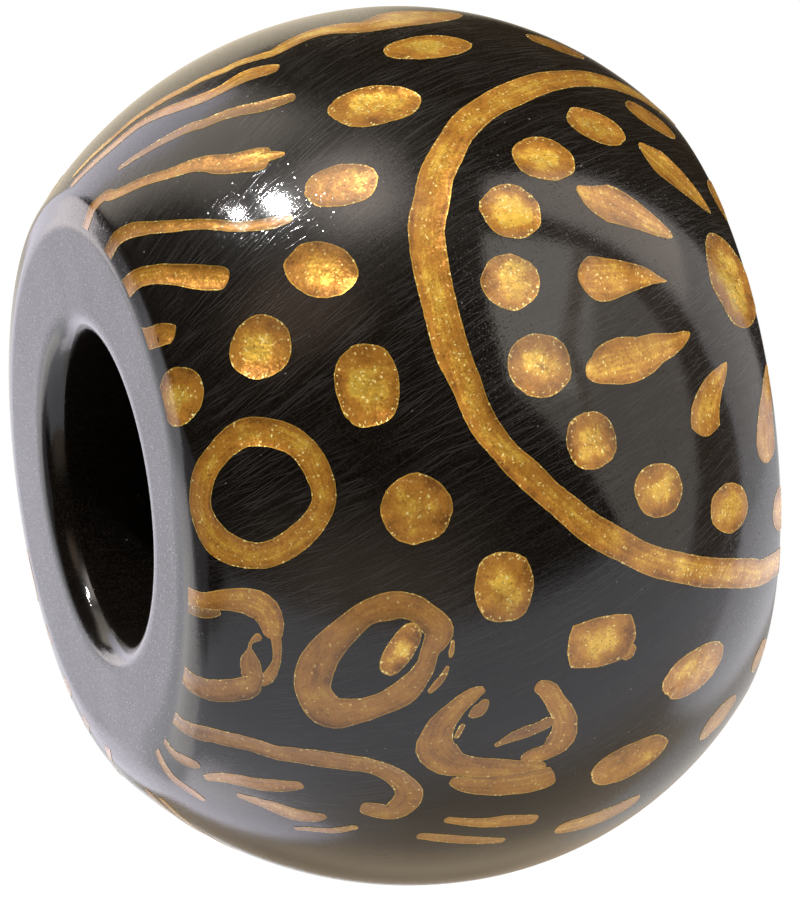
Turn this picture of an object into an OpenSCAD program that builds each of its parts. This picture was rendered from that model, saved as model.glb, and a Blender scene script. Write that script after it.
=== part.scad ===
// Black barrel bead for a dreadlock, drilled from end to end. Gold marks are let into its skin in
// shallow pockets and finish flush with it. It stands on one flat end, with the hole upright.
// A mark is placed by its azimuth, in degrees from -Y towards +X, and its height above the lower end.

/* [Bead] */
// Largest outside diameter of the bead
bead_d = 16; // [15.5:0.1:16.5]
// Length from flat end to flat end
bead_len = 11; // [10.8:0.1:11.2]
// Height of the widest ring above the lower end
belly_z = 5.05; // [4.9:0.05:5.2]
// Radius of the side's curve above the widest ring
upper_arc_r = 7.7; // [7.6:0.1:8]
// Radius of the side's curve below the widest ring
lower_arc_r = 6.8; // [6.7:0.1:7]
// Diameter of the flat on the upper end
upper_flat_d = 9.7; // [9.4:0.1:9.8]
// Diameter of the flat on the lower end
lower_flat_d = 10.8; // [10.4:0.1:10.9]
// Slope of the narrow bevel round each flat, rise over run
bevel_slope = 0.25; // [0.2:0.05:0.3]

/* [Bore] */
// Diameter of the hole for the hair
bore_d = 5.6; // [5:0.1:6]
// Rounding of the hole's two lips
lip_r = 0.45; // [0.3:0.05:0.6]

/* [Gold] */
// Depth of a gold mark below the skin
gold_depth = 0.3; // [0.2:0.05:0.4]
// Clearance round and under each gold mark
gold_gap = 0.02; // [0.01:0.01:0.03]
// Times that the pattern is repeated round the bead
repeats = 2; // [1:1:2]
// Corners on the outline of a dot
dot_corners = 12; // [12:2:20]
// Steps along each side of a brush mark
mark_steps = 6; // [6:1:10]

/* [Hidden] */
$fn = 96;
bead_r = bead_d / 2;
bore_r = bore_d / 2;
// Half the length of the prism that cuts a mark
prism_half = 1;
// How far a cutting shape runs past what it cuts
past = 1;
// Waver of a dot's outline, as a share of its size, and its change from dot to dot with height
waver = 0.012;
waver_turn = 97;
// How square a stroke's ends are, and how near its round end a petal is widest
end_power = 6;
petal_power = 0.6;

// Dots: azimuth, height, size along the azimuth, size up the side, turn
DOTS = [
    // round the flower, inside the circle
    [50.3, 1.05, 0.76, 1.20, -8],
    [42.8, 2.55, 0.92, 1.14, -9],
    [35.9, 3.93, 1.02, 1.14, 0],
    [28.2, 4.93, 1.08, 1.10, 15],
    [18.7, 5.32, 1.04, 1.04, 30],
    [7.5, 5.13, 1.12, 1.14, 10],
    [-3, 4.4, 1.08, 0.98, 0],
    [-10.5, 3.15, 0.97, 1.04, -10],
    [-15.8, 1.58, 0.93, 1.08, -15],
    [-20.4, 0.3, 0.80, 0.76, 0],
    // following the circle outside it
    [66.5, 2.15, 0.80, 1.25, 0],
    [60.5, 4.9, 0.93, 1.62, 0],
    [49.8, 6.46, 1.12, 1.60, -12],
    [38, 7.58, 0.92, 1.32, -12],
    [26.5, 8.37, 1.04, 1.34, -42],
    [8.8, 8.09, 1.47, 1.14, -6],
    [-8.4, 7.62, 1.22, 1.22, 35],
    [-19.9, 6.2, 1.30, 1.06, 0],
    [-29.2, 4.38, 1.02, 1.32, 0],
    [-39.2, 2.3, 1.00, 1.48, 0],
    [-49, 0.36, 0.84, 0.74, 0],
    // between the flower circle and the upper end
    [18.3, 9.56, 1.16, 1.16, 45],
    [15.5, 10.84, 1.06, 1.06, 0],
    [-51.4, 3.4, 1.02, 1.68, 0],
    [-55.4, 1.25, 0.82, 1.06, 0]
];

// Petals: azimuth and height of the round end, the same of the tip, and the greatest width
PETALS = [
    [41.5, 0.34, 32.2, 0.3, 0.42],
    [41.2, 1.72, 31.5, 0.66, 1.00],
    [31.2, 3.52, 24.4, 1.8, 0.95],
    [18.1, 4.1, 17.3, 2.25, 0.95],
    [6.1, 4.35, 9.8, 2.0, 0.88],
    [-4.8, 1.98, 5.2, 1.25, 0.95],
    [-11.3, 0.5, 4.5, 0.32, 0.72]
];

// Flower centres: azimuth, height, size along the azimuth, size up the side, turn
CENTRES = [
    [18.6, 0.66, 1.80, 1.45, 0]
];

// Rings: azimuth, height, outer size along the azimuth, outer size up the side, turn, line width
RINGS = [
    [-4.5, 9.9, 2.80, 2.74, 0, 0.46],
    [-33.5, 10.5, 2.45, 2.10, 0, 0.38],
    [-30.6, 8.3, 2.50, 2.75, 25, 0.50],
    [-42.2, 6.05, 2.00, 2.70, 0, 0.46]
];

// Blots inside the rings: azimuth, height, size along the azimuth, size up the side, turn
BLOTS = [
    [-28.1, 7.9, 1.12, 0.54, -28]
];

// Circle round the flower, in overlapping brush marks with the columns of the strokes
BAND = [
    [63.5, -0.4, 58, 1.25, 51.5, 3.05, 0.54, 0.58],
    [53.5, 2.55, 48, 3.95, 40, 5.48, 0.56, 0.60],
    [43, 5.05, 34.5, 6.05, 24.5, 6.52, 0.58, 0.62],
    [28, 6.42, 16, 6.67, 3, 6.36, 0.62, 0.58],
    [7, 6.5, -3, 5.9, -12.5, 4.7, 0.58, 0.56],
    [-10, 5.06, -17.8, 3.72, -24, 2.15, 0.56, 0.56],
    [-22, 2.67, -27.5, 1.05, -32, -0.1, 0.56, 0.54]
];

// Brush marks: azimuth and height at the start, middle and end, and the width at start and end
STROKES = [
    // rays that leave the upper end
    [31, 11.1, 28.7, 10.86, 26.6, 10.62, 0.40, 0.42],
    [46, 11.1, 39, 10.56, 31.2, 9.68, 0.42, 0.46],
    [56.5, 11.1, 45.5, 10.05, 36.2, 8.6, 0.30, 0.24],
    [69, 11.0, 57.6, 9.85, 47, 8.3, 0.26, 0.50],
    [70.5, 10.2, 63, 8.95, 57.3, 7.55, 0.22, 0.34],
    [84.2, 10.6, 75.4, 9.3, 67, 7.6, 0.26, 0.40],
    [88.4, 10.5, 78.5, 8.95, 71.8, 7.3, 0.22, 0.34],
    [72.2, 7.5, 71.6, 5.6, 74, 3.6, 0.40, 0.84],
    // long stem and its hook
    [-57.5, 11.0, -51.2, 9.85, -48.5, 8.3, 0.34, 0.42],
    [-48.6, 8.55, -52.2, 7.52, -58, 7.95, 0.42, 0.50],
    // short marks under the stem
    [-68, 11.0, -66.6, 10.8, -64.2, 10.6, 0.26, 0.20],
    [-66.8, 10.42, -61.4, 9.98, -56.4, 9.15, 0.24, 0.32],
    [-66.3, 9.98, -64.9, 9.35, -62.2, 8.66, 0.28, 0.34],
    [-75.6, 10.98, -75.4, 10.62, -75.2, 10.28, 0.26, 0.24],
    [-68.8, 9.0, -66.4, 8.55, -63, 8.12, 0.22, 0.24],
    [-51.2, 6.85, -52.3, 5.9, -51.9, 4.95, 0.36, 0.46],
    [-58.3, 6.75, -59.1, 5.85, -59.7, 5.0, 0.34, 0.40],
    [-63, 7.1, -63.9, 6.25, -64.5, 5.45, 0.30, 0.30],
    [-63.9, 4.5, -64.6, 3.6, -64.4, 2.7, 0.52, 0.58]
];

// Columns of the tables of dots, centres, rings and blots
AZ = 0;
HT = 1;
ACROSS = 2;
UP = 3;
TURN = 4;
LINE = 5;

// Radius of the skin at a height, and the angle of its outward normal above level
function skin_r(z) = z > belly_z
    ? bead_r - upper_arc_r + sqrt(pow(upper_arc_r, 2) - pow(z - belly_z, 2))
    : bead_r - lower_arc_r + sqrt(pow(lower_arc_r, 2) - pow(z - belly_z, 2));
function lean(z) = asin((z - belly_z) / (z > belly_z ? upper_arc_r : lower_arc_r));

function skin_point(az, z) = [skin_r(z) * sin(az), -skin_r(z) * cos(az), z];
function east(az) = [cos(az), sin(az), 0];
function uphill(az, dip) = [-sin(az) * sin(dip), cos(az) * sin(dip), cos(dip)];

// A skin point as seen straight on from another one: distance along the azimuth and up the side
function flat_point(az, z, az0, z0) =
    let (d = skin_point(az, z) - skin_point(az0, z0))
    [d * east(az0), d * uphill(az0, lean(z0))];

// A dot's outline, round with a hand-made waver that differs from dot to dot
function dot_outline(w, h, phase) = [
    for (k = [0 : dot_corners - 1])
        let (t = 360 * k / dot_corners, r = 0.5 + waver * (sin(3 * t + phase) + sin(5 * t - phase)))
        [w * r * cos(t), h * r * sin(t)]
];

// A value that runs through three given ones, at the start, the middle and the end
function through(a, b, c, t) = a * (1 - t) * (1 - 2 * t) + b * 4 * t * (1 - t) + c * t * (2 * t - 1);

// Steps along a mark, closer together at its ends
function step_at(k) = (1 - cos(180 * k / mark_steps)) / 2;

// Middle line of a brush mark, seen straight on from its middle
function mark_line(m) = [
    for (k = [0 : mark_steps])
        let (t = step_at(k))
        flat_point(through(m[0], m[2], m[4], t), through(m[1], m[3], m[5], t), m[2], m[3])
];

// Direction of the line at a point, from its two neighbours
function heading(line, k) =
    let (d = line[min(k + 1, mark_steps)] - line[max(k - 1, 0)])
    d / norm(d);

function side_of(line, widths, grow, s) = [
    for (k = [1 : mark_steps - 1])
        let (d = heading(line, k))
        line[k] + s * (widths[k] / 2 + grow) * [-d[1], d[0]]
];

// Closed outline round a line with its own width at each step, grown all round by the clearance
function mark_outline(line, widths, grow) =
    let (there = side_of(line, widths, grow, 1), back = side_of(line, widths, grow, -1))
    concat(
        [line[0] - grow * heading(line, 0)],
        there,
        [line[mark_steps] + grow * heading(line, mark_steps)],
        [for (k = [len(back) - 1 : -1 : 0]) back[k]]
    );

// Widths of a stroke with blunt ends, and of a petal with one round end and one tip
function stroke_widths(w0, w1) = [
    for (k = [0 : mark_steps])
        let (t = step_at(k))
        (w0 + (w1 - w0) * t) * sqrt(1 - pow(abs(2 * t - 1), end_power))
];
function petal_widths(w) = [
    for (k = [0 : mark_steps]) w * sin(180 * pow(step_at(k), petal_power))
];

// Stands its children on the skin, their Z outwards and their Y up the side
module on_skin(az, z, dip) {
    rotate([0, 0, az])
        translate([0, -skin_r(z), z])
            rotate([90 - dip, 0, 0])
                children();
}

module repeated() {
    for (k = [0 : repeats - 1])
        rotate([0, 0, 360 * k / repeats])
            children();
}

module prism() {
    translate([0, 0, -prism_half])
        linear_extrude(height = 2 * prism_half)
            children();
}

// Half outline of the bead's side, in by a given depth, without its ends
module side_profile(inset) {
    wide = bead_r + past;
    intersection() {
        translate([bead_r - upper_arc_r, belly_z])
            circle(r = upper_arc_r - inset);
        translate([0, belly_z])
            square([wide, wide]);
    }
    intersection() {
        translate([bead_r - lower_arc_r, belly_z])
            circle(r = lower_arc_r - inset);
        translate([0, belly_z - wide])
            square([wide, wide]);
    }
}

// Room between the two ends and their bevels
module ends_profile() {
    wide = bead_r + past;
    polygon([
        [0, 0],
        [lower_flat_d / 2, 0],
        [wide, (wide - lower_flat_d / 2) * bevel_slope],
        [wide, bead_len - (wide - upper_flat_d / 2) * bevel_slope],
        [upper_flat_d / 2, bead_len],
        [0, bead_len]
    ]);
}

// What the hole takes from the half outline, with a rounded lip at each end
module bore_profile() {
    translate([0, -past])
        square([bore_r, bead_len + 2 * past]);
    for (end = [0, 1])
        translate([0, end * bead_len])
            mirror([0, end])
                difference() {
                    translate([0, -past])
                        square([bore_r + lip_r, past + lip_r]);
                    translate([bore_r + lip_r, lip_r])
                        circle(r = lip_r);
                }
}

// Thin shell in which the gold lies, flush with the skin and cut off at the bevels
module gold_shell() {
    rotate_extrude()
        difference() {
            intersection() {
                side_profile(0);
                ends_profile();
            }
            side_profile(gold_depth);
        }
}

// Shell that the pockets are cut from, standing clear of the skin
module pocket_shell() {
    rotate_extrude()
        intersection() {
            difference() {
                side_profile(-past / 2);
                side_profile(gold_depth + gold_gap);
            }
            translate([past, -past])
                square([bead_r + past, bead_len + 2 * past]);
        }
}

module band_prisms(grow) {
    repeated()
        for (b = BAND)
            mark_prism(b, stroke_widths(b[6], b[7]), grow);
}

module ring_prisms(grow) {
    repeated() {
        for (r = RINGS)
            on_skin(r[AZ], r[HT], lean(r[HT]))
                prism()
                    difference() {
                        blot(r, grow);
                        blot(r, -r[LINE] - grow);
                    }
        blot_prisms(BLOTS, grow);
    }
}

// Flat blot of a table row, turned as the row says and grown all round
module blot(row, grow) {
    rotate(row[TURN])
        polygon(dot_outline(row[ACROSS] + 2 * grow, row[UP] + 2 * grow, waver_turn * row[HT]));
}

module blot_prisms(table, grow) {
    for (row = table)
        on_skin(row[AZ], row[HT], lean(row[HT]))
            prism()
                blot(row, grow);
}

module dot_prisms(grow) {
    repeated()
        blot_prisms(DOTS, grow);
}

module petal_prisms(grow) {
    repeated() {
        blot_prisms(CENTRES, grow);
        for (p = PETALS)
            mark_prism([p[0], p[1], (p[0] + p[2]) / 2, (p[1] + p[3]) / 2, p[2], p[3]], petal_widths(p[4]), grow);
    }
}

module stroke_prisms(grow) {
    repeated()
        for (s = STROKES)
            mark_prism(s, stroke_widths(s[6], s[7]), grow);
}

module mark_prism(m, widths, grow) {
    on_skin(m[2], m[3], lean(m[3]))
        prism()
            polygon(mark_outline(mark_line(m), widths, grow));
}

module pockets() {
    intersection() {
        pocket_shell();
        union() {
            band_prisms(gold_gap);
            ring_prisms(gold_gap);
            dot_prisms(gold_gap);
            petal_prisms(gold_gap);
            stroke_prisms(gold_gap);
        }
    }
}

module bead_body() {
    color("#14110f")
        difference() {
            rotate_extrude()
                difference() {
                    intersection() {
                        side_profile(0);
                        ends_profile();
                    }
                    bore_profile();
                }
            pockets();
        }
}

module gold_bands() {
    color("#c08a34")
        intersection() {
            gold_shell();
            band_prisms(0);
        }
}

module gold_rings() {
    color("#b98038")
        intersection() {
            gold_shell();
            ring_prisms(0);
        }
}

module gold_dots() {
    color("#d09a40")
        intersection() {
            gold_shell();
            dot_prisms(0);
        }
}

module gold_petals() {
    color("#c99042")
        intersection() {
            gold_shell();
            petal_prisms(0);
        }
}

module gold_strokes() {
    color("#b37a35")
        intersection() {
            gold_shell();
            stroke_prisms(0);
        }
}

bead_body();
gold_bands();
gold_rings();
gold_dots();
gold_petals();
gold_strokes();
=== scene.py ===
import math

import bmesh
import bpy
from mathutils import Matrix, Vector, noise


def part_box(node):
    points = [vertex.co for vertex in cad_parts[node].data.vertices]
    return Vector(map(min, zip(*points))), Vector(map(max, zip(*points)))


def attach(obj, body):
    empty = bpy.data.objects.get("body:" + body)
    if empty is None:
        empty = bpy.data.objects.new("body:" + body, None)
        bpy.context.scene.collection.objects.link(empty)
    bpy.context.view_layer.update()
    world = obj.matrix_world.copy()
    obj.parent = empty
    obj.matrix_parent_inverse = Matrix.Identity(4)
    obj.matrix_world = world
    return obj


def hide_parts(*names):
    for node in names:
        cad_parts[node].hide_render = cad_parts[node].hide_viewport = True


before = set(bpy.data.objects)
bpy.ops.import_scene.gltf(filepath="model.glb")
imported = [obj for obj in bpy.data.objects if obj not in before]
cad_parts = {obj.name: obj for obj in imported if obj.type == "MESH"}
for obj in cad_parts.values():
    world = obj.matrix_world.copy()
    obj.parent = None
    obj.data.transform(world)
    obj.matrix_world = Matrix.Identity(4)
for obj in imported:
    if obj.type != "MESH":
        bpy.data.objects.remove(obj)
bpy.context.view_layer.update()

mm = 0.001
print("packed model loaded:", ", ".join(sorted(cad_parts)))


# Camera: it stands at the photo's angle and lies on its side, so that the bore points left
cameraSet = {
    "elevation": 19.06,  # degrees above the floor, on the bead's -Y side
    "roll": 98.3,
    "distance": 160.0,  # mm
    "aimHeight": 5.05,  # the point on the bore's axis that it aims near, mm
    "aimRight": 0.09,  # where that point lies from the middle of the picture, mm
    "aimUp": 0.053,
    "lens": 352.9,
}


def makeCamera(c):
    tilt, roll = math.radians(c["elevation"]), math.radians(c["roll"])
    into = Vector((0, math.cos(tilt), -math.sin(tilt)))
    level, steep = Vector((1, 0, 0)), Vector((0, math.sin(tilt), math.cos(tilt)))
    right = level * math.cos(roll) - steep * math.sin(roll)
    up = level * math.sin(roll) + steep * math.cos(roll)
    aim = Vector((0, 0, c["aimHeight"])) - right * c["aimRight"] - up * c["aimUp"]
    place = (aim - into * c["distance"]) * mm
    data = bpy.data.cameras.new("photoCamera")
    data.lens, data.sensor_width = c["lens"], 36
    data.clip_start, data.clip_end = 0.01, 10
    camera = bpy.data.objects.new("photoCamera", data)
    turned = Matrix((right, up, -into)).transposed()
    camera.matrix_world = Matrix.Translation(place) @ turned.to_4x4()
    bpy.context.scene.collection.objects.link(camera)
    bpy.context.scene.camera = camera


makeCamera(cameraSet)
bpy.context.scene.view_settings.view_transform = "Standard"
print("camera placed")


# Node helpers
def addNode(tree, kind, inputs=None, **settings):
    node = tree.nodes.new(kind)
    for name, value in settings.items():
        setattr(node, name, value)
    for socket, value in (inputs or {}).items():
        if isinstance(value, bpy.types.NodeSocket):
            tree.links.new(value, node.inputs[socket])
        else:
            node.inputs[socket].default_value = value
    return node


def calc(tree, operation, a, b=0.0, c=0.0):
    node = addNode(tree, "ShaderNodeMath", operation=operation)
    for k, value in enumerate((a, b, c)):
        if isinstance(value, bpy.types.NodeSocket):
            tree.links.new(value, node.inputs[k])
        else:
            node.inputs[k].default_value = value
    return node.outputs[0]


def ease(tree, value, low, high, toLow=0.0, toHigh=1.0):
    node = addNode(tree, "ShaderNodeMapRange", {0: value, 1: low, 2: high, 3: toLow, 4: toHigh},
                   interpolation_type="SMOOTHSTEP")
    return node.outputs[0]


def mixColours(tree, share, first, second):
    node = addNode(tree, "ShaderNodeMix", {0: share, 6: first, 7: second}, data_type="RGBA")
    return node.outputs[2]


def bump(tree, height, distance, normal):
    node = addNode(tree, "ShaderNodeBump", {"Height": height, "Strength": 1.0,
                                            "Distance": distance * mm, "Normal": normal})
    return node.outputs[0]


def tipped(tree, colour, middle, amount):
    # the surface's normal, leant by a random colour
    lean = addNode(tree, "ShaderNodeVectorMath", {0: colour, 1: middle}, operation="SUBTRACT")
    lean = lean.outputs[0]
    lean = addNode(tree, "ShaderNodeVectorMath", {0: lean, "Scale": amount}, operation="SCALE")
    lying = addNode(tree, "ShaderNodeNewGeometry").outputs["Normal"]
    leant = addNode(tree, "ShaderNodeVectorMath", {0: lying, 1: lean.outputs[0]}, operation="ADD")
    unit = addNode(tree, "ShaderNodeVectorMath", {0: leant.outputs[0]}, operation="NORMALIZE")
    return unit.outputs[0]


def makeObject(name, bm, material):
    mesh = bpy.data.meshes.new(name)
    bm.to_mesh(mesh)
    bm.free()
    obj = bpy.data.objects.new(name, mesh)
    obj.data.materials.append(material)
    bpy.context.scene.collection.objects.link(obj)
    return obj


# Floor: a wide white sheet whose edge curves up into a backdrop
floorSet = {
    "radius": 1200.0,  # mm
    "below": 0.004,  # under the bead, so that the two faces don't coincide
    "bands": 6,  # in its curved edge
    "spread": 0.08,  # share by which the lowest band widens it
    "rise": 236.84,  # of a band that would stand upright, mm
    "glow": 0.99,  # even white of its own
    "white": 0.05,  # what it adds where light falls on it
}


def makeFloor(f):
    material = bpy.data.materials.new("whitePaper")
    material.use_nodes = True
    tree = material.node_tree
    shader = tree.nodes["Principled BSDF"]
    shader.inputs["Base Color"].default_value = (f["white"], f["white"], f["white"], 1)
    shader.inputs["Roughness"].default_value = 0.9
    shader.inputs["Specular IOR Level"].default_value = 0
    shader.inputs["Emission Color"].default_value = (1, 1, 1, 1)
    shader.inputs["Emission Strength"].default_value = f["glow"]
    bm = bmesh.new()
    bmesh.ops.create_circle(bm, cap_ends=True, radius=f["radius"], segments=96)
    for k in range(f["bands"]):
        bend = math.radians(90 * k / f["bands"])
        edges = [e for e in bm.edges if e.is_boundary]
        made = bmesh.ops.extrude_edge_only(bm, edges=edges)
        verts = [v for v in made["geom"] if isinstance(v, bmesh.types.BMVert)]
        grow = 1 + f["spread"] * math.cos(bend)
        bmesh.ops.scale(bm, vec=(grow, grow, 1), verts=verts)
        bmesh.ops.translate(bm, vec=(0, 0, f["rise"] * math.sin(bend)), verts=verts)
    bmesh.ops.translate(bm, vec=(0, 0, -f["below"]), verts=bm.verts)
    bmesh.ops.scale(bm, vec=(mm, mm, mm), verts=bm.verts)
    for face in bm.faces:
        face.smooth = len(face.verts) == 4
    floor = makeObject("floor", bm, material)
    floor.visible_glossy = False  # the panels below the bead's middle shine past it
    floor.visible_shadow = False


makeFloor(floorSet)
print("floor laid")


# Light: soft panels round the bead, each over the ones before it. Azimuth, from -Y towards +X, and
# elevation are its middle and half size in degrees. Soft is its edge's fade, slant how far it leans
room = (0.022, 0.019, 0.016)
panels = [
    {"of": "brown wall ahead on the left", "azimuth": (-48, 24), "elevation": (30, 26), "soft": 36,
     "tint": (0.60, 0.47, 0.36)},
    {"of": "brown wall ahead on the right", "azimuth": (51, 14), "elevation": (36, 14), "soft": 24,
     "tint": (0.90, 0.62, 0.46)},
    {"of": "wall on the left", "azimuth": (-114, 68), "elevation": (-4, 66), "soft": 14, "slant": -0.24,
     "tint": (1.07, 1.07, 1.15)},
    {"of": "brown wall low on the left", "azimuth": (-140, 45), "elevation": (-20, 30), "soft": 30,
     "tint": (0.60, 0.50, 0.38)},
    {"of": "dim ceiling behind", "azimuth": (-165, 35), "elevation": (74, 20), "soft": 10,
     "tint": (0.30, 0.29, 0.30)},
    {"of": "beige wall behind on the left", "azimuth": (-152, 20), "elevation": (-12, 13), "soft": 7,
     "tint": (0.74, 0.59, 0.41)},
    {"of": "its darker end", "azimuth": (-164, 14), "elevation": (-11, 12), "soft": 12,
     "tint": (0.38, 0.30, 0.21)},
    {"of": "pale wall behind on the left", "azimuth": (-177, 8), "elevation": (-7, 11), "soft": 6,
     "tint": (1.02, 1.02, 1.04)},
    {"of": "grey wall behind on the left", "azimuth": (-160, 24), "elevation": (-34, 9), "soft": 6,
     "tint": (0.66, 0.63, 0.60)},
    {"of": "white table on the left", "azimuth": (-144, 34), "elevation": (-64, 20), "soft": 5,
     "tint": (1.62, 1.60, 1.68)},
    {"of": "dim wall on the right", "azimuth": (125, 42), "elevation": (-34, 26), "soft": 14,
     "tint": (0.04, 0.028, 0.016)},
    {"of": "key's surround", "azimuth": (76, 26), "elevation": (12, 18), "soft": 28,
     "tint": (0.60, 0.54, 0.47)},
    {"of": "pale patch beside the key", "azimuth": (73, 12), "elevation": (10, 9), "soft": 16,
     "tint": (4.2, 3.7, 3.4)},
    {"of": "warm wall on the right", "azimuth": (122, 24), "elevation": (17, 12), "soft": 12,
     "tint": (1.5, 1.36, 1.18)},
    {"of": "beige wall behind on the right", "azimuth": (160, 16), "elevation": (-9.5, 11.5), "soft": 8,
     "tint": (0.92, 0.80, 0.61)},
    {"of": "bright wall behind", "azimuth": (180, 53), "elevation": (10, 6.8), "soft": 4,
     "tint": (1.72, 1.65, 1.86)},
    {"of": "haze high behind on the right", "azimuth": (167, 9), "elevation": (20, 6), "soft": 5,
     "tint": (2.5, 2.3, 2.35)},
    {"of": "haze high behind on the left", "azimuth": (-137, 9), "elevation": (19, 6), "soft": 8,
     "tint": (2.3, 2.2, 2.3)},
    {"of": "sheet high behind", "azimuth": (-160, 18), "elevation": (38, 12), "soft": 7,
     "tint": (2.0, 1.9, 1.9)},
    {"of": "floor", "azimuth": (0, 180), "elevation": (-84, 12.5), "soft": 3, "tint": (1.2, 1.2, 1.24)},
]

# The window, drawn on a plane one unit away: its corners run clockwise, across and up that plane
windowFacing = (45, -45)  # azimuth, elevation
window = [
    {"of": "frame", "soft": 0.03, "tint": (0.34, 0.27, 0.22),
     "corners": [(-0.24, 0.34), (0.0, 0.34), (0.2, -0.5), (-0.03, -0.6)]},
    {"of": "dark beyond it", "soft": 0.04, "tint": (0.20, 0.15, 0.11),
     "corners": [(-0.04, -0.40), (0.2, -0.45), (1.3, -1.75), (0.45, -2.3), (0.2, -1.44)]},
    {"of": "side strip", "soft": 0.02, "tint": (1.3, 1.22, 1.18),
     "corners": [(-0.45, 0.47), (-0.27, 0.56), (-0.05, -0.45), (0.13, -1.4), (-0.5, -1.5)]},
    {"of": "its bright end", "soft": 0.08, "tint": (2.5, 2.2, 2.0),
     "corners": [(-0.44, 0.46), (-0.28, 0.56), (-0.11, -0.25), (-0.10, -0.50), (-0.42, -0.55)]},
    {"of": "glass", "soft": 0.02, "tint": (1.20, 1.08, 0.97),
     "corners": [(-0.13, 0.62), (0.25, 0.72), (0.80, 0.66), (1.0, 0.24), (1.27, -0.30), (1.6, -1.0),
                 (1.4, -1.75), (0.17, -0.44), (-0.06, 0.02)]},
    {"of": "its upper part", "soft": 0.06, "tint": (2.4, 2.22, 2.0),
     "corners": [(-0.13, 0.62), (0.25, 0.72), (0.80, 0.66), (0.64, 0.14), (-0.06, 0.06)]},
    {"of": "bar", "soft": 0.02, "tint": (1.0, 0.78, 0.62),
     "corners": [(-0.06, 0.08), (-0.06, 0.14), (0.40, 0.30), (0.42, 0.22)]},
    {"of": "bar", "soft": 0.02, "tint": (0.95, 0.74, 0.58),
     "corners": [(0.38, 0.22), (0.38, 0.30), (1.1, -0.07), (1.1, -0.14)]},
]
lampAim = (0, 0, 5)  # mm, the bead's middle
lampSet = [
    {"azimuth": 81.0, "elevation": 24.5, "distance": 300.0, "size": 17.0, "watts": 0.6},
    {"azimuth": 88.6, "elevation": 31.0, "distance": 300.0, "size": 9.0, "watts": 0.12},
]


def directionTo(azimuth, elevation):
    a, e = math.radians(azimuth), math.radians(elevation)
    return Vector((math.sin(a) * math.cos(e), -math.cos(a) * math.cos(e), math.sin(e)))


def fadeOut(tree, away, reach, soft):
    # 1 up to the reach on either side, fading to 0 over the soft edge
    return ease(tree, calc(tree, "ABSOLUTE", away), reach - soft / 2, reach + soft / 2, 1.0, 0.0)


def makeWorld():
    world = bpy.data.worlds.new("studio")
    bpy.context.scene.world = world
    world.use_nodes = True
    tree = world.node_tree
    tree.nodes.clear()
    coords = addNode(tree, "ShaderNodeTexCoord")
    parts = addNode(tree, "ShaderNodeSeparateXYZ", {0: coords.outputs["Generated"]})
    x, y, z = parts.outputs
    elevation = calc(tree, "DEGREES", calc(tree, "ARCSINE", z))
    azimuth = calc(tree, "DEGREES", calc(tree, "ARCTAN2", x, calc(tree, "MULTIPLY", y, -1.0)))
    light = addNode(tree, "ShaderNodeRGB")
    light.outputs[0].default_value = room + (1,)
    light = light.outputs[0]
    for p in panels:
        turned = azimuth
        if "slant" in p:
            turned = calc(tree, "MULTIPLY_ADD", elevation, -p["slant"], azimuth)
        aside = calc(tree, "WRAP", calc(tree, "SUBTRACT", turned, p["azimuth"][0]), 180, -180)
        above = calc(tree, "SUBTRACT", elevation, p["elevation"][0])
        across = fadeOut(tree, aside, p["azimuth"][1], p["soft"])
        tall = fadeOut(tree, above, p["elevation"][1], p["soft"])
        light = mixColours(tree, calc(tree, "MULTIPLY", across, tall), light, p["tint"] + (1,))

    facing = directionTo(*windowFacing)
    aside = facing.cross(Vector((0, 0, 1))).normalized()
    ahead, along, up = [addNode(tree, "ShaderNodeVectorMath", {0: coords.outputs["Generated"], 1: axis},
                                operation="DOT_PRODUCT").outputs["Value"]
                        for axis in (facing, aside, aside.cross(facing))]
    ahead = calc(tree, "MAXIMUM", ahead, 0.02)
    along, up = calc(tree, "DIVIDE", along, ahead), calc(tree, "DIVIDE", up, ahead)
    inFront = ease(tree, ahead, 0.03, 0.06)
    for pane in window:
        inside = inFront
        for start, end in zip(pane["corners"], pane["corners"][1:] + pane["corners"][:1]):
            edge = (Vector(end) - Vector(start)).normalized()
            depth = calc(tree, "MULTIPLY_ADD", along, edge.y, -edge.y * start[0] + edge.x * start[1])
            depth = calc(tree, "MULTIPLY_ADD", up, -edge.x, depth)
            within = ease(tree, depth, -pane["soft"] / 2, pane["soft"] / 2)
            inside = calc(tree, "MULTIPLY", inside, within)
        light = mixColours(tree, inside, light, pane["tint"] + (1,))
    background = addNode(tree, "ShaderNodeBackground", {"Color": light, "Strength": 1.0})
    addNode(tree, "ShaderNodeOutputWorld", {"Surface": background.outputs[0]})


def makeLamps():
    for s in lampSet:
        data = bpy.data.lights.new("keyLamp", "AREA")
        data.shape, data.size, data.energy = "DISK", s["size"] * mm, s["watts"]
        lamp = bpy.data.objects.new("keyLamp", data)
        towards = directionTo(s["azimuth"], s["elevation"])
        lamp.location = (towards * s["distance"] + Vector(lampAim)) * mm
        lamp.rotation_mode = "QUATERNION"
        lamp.rotation_quaternion = towards.to_track_quat("Z", "Y")
        lamp.visible_camera = False
        bpy.context.scene.collection.objects.link(lamp)


makeWorld()
makeLamps()
print("studio lit")


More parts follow.
